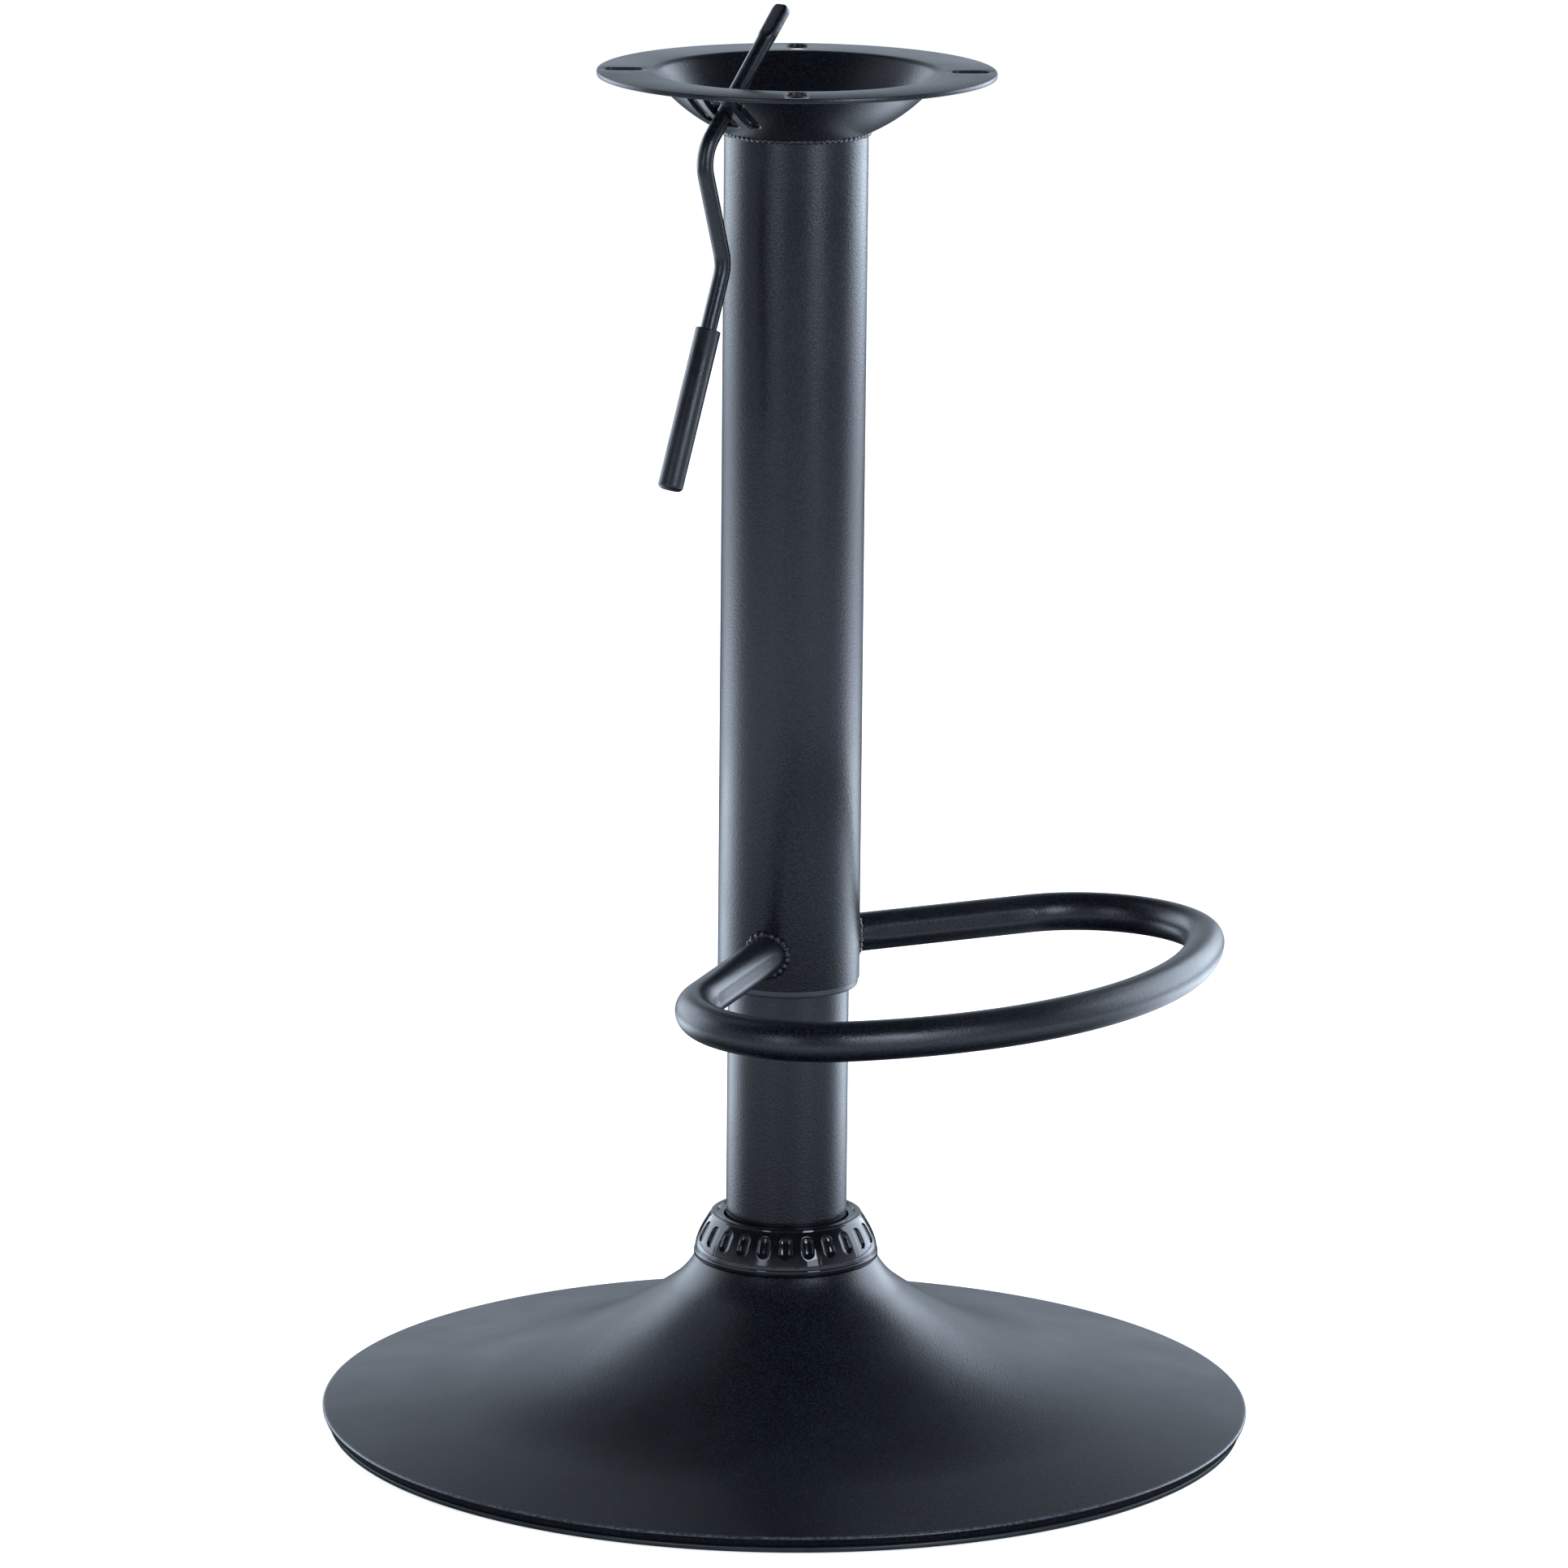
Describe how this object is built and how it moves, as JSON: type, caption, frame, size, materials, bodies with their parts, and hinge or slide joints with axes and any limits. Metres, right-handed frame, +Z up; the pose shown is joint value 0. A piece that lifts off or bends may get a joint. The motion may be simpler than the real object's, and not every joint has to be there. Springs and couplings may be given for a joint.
{
  "type": "bar stool base",
  "caption": "Gas lift bar stool base: trumpet foot, fixed column, sliding sleeve with looped footrest, bowl seat plate with slotted flange and a hanging release lever.",
  "frame": {"origin": "centre of the round foot, on the floor", "axes": "+Z up along the column; -Y towards the viewer of the picture; +X to the right. Bolt slots lie on X and Y."},
  "size_m": [0.385, 0.385, 0.5941],
  "materials": {
    "powder_black": "fine matt black powder coat",
    "gloss_black": "glossy moulded black",
    "grip_black": "fine grained matt black",
    "edging_black": "matt black edging",
    "bush_black": "satin black",
    "raw_steel": "plain turned or pressed steel",
    "polished_steel": "ground and polished",
    "cast_alloy": "turned",
    "brass": "stamped",
    "seal_rubber": "matt"
  },
  "bodies": {
    "base": {"base_dish": "powder_black", "floor_ring": "edging_black", "hub_socket": "raw_steel", "hub_brace": "raw_steel", "neck_collar": "gloss_black", "column_tube": "powder_black", "column_end_plate": "raw_steel", "guide_sleeve": "bush_black", "bearing_lower_race": "raw_steel", "bearing_balls": "polished_steel", "bearing_cage": "brass"},
    "rod": {"piston_rod": "polished_steel", "piston": "cast_alloy", "piston_seal": "seal_rubber", "bearing_upper_race": "raw_steel", "rubber_bumper": "seal_rubber", "rod_washer": "raw_steel", "retaining_clip": "raw_steel"},
    "upper": {"pressure_tube": "polished_steel", "inner_cylinder": "raw_steel", "rod_guide": "cast_alloy", "rod_seal": "seal_rubber", "valve_body": "cast_alloy", "taper_socket": "raw_steel", "sleeve_tube": "powder_black", "sleeve_bush": "bush_black", "seat_plate": "powder_black", "footrest": "powder_black"},
    "lever": {"lever_rod": "powder_black", "lever_grip": "grip_black"},
    "button": {"release_button": "polished_steel"}
  },
  "joints": [
    {"name": "seat_swivel", "type": "hinge", "parent": "base", "child": "rod", "pos_m": [0, 0, 0.0231], "axis": [0, 0, 1], "continuous": true},
    {"name": "height_lift", "type": "slide", "parent": "rod", "child": "upper", "axis": [0, 0, 1], "range_m": [0, 0.21]},
    {"name": "lever_swing", "type": "hinge", "parent": "upper", "child": "lever", "pos_m": [-0.02743, -0.03387, 0.55511], "axis": [-0.7771, 0.6293, 0], "range_deg": [-8, 47.5]},
    {"name": "valve_press", "type": "slide", "parent": "upper", "child": "button", "axis": [0, 0, -1], "range_m": [0, 0.004], "stiffness_N_per_m": 3000, "springref_m": -0.004}
  ]
}
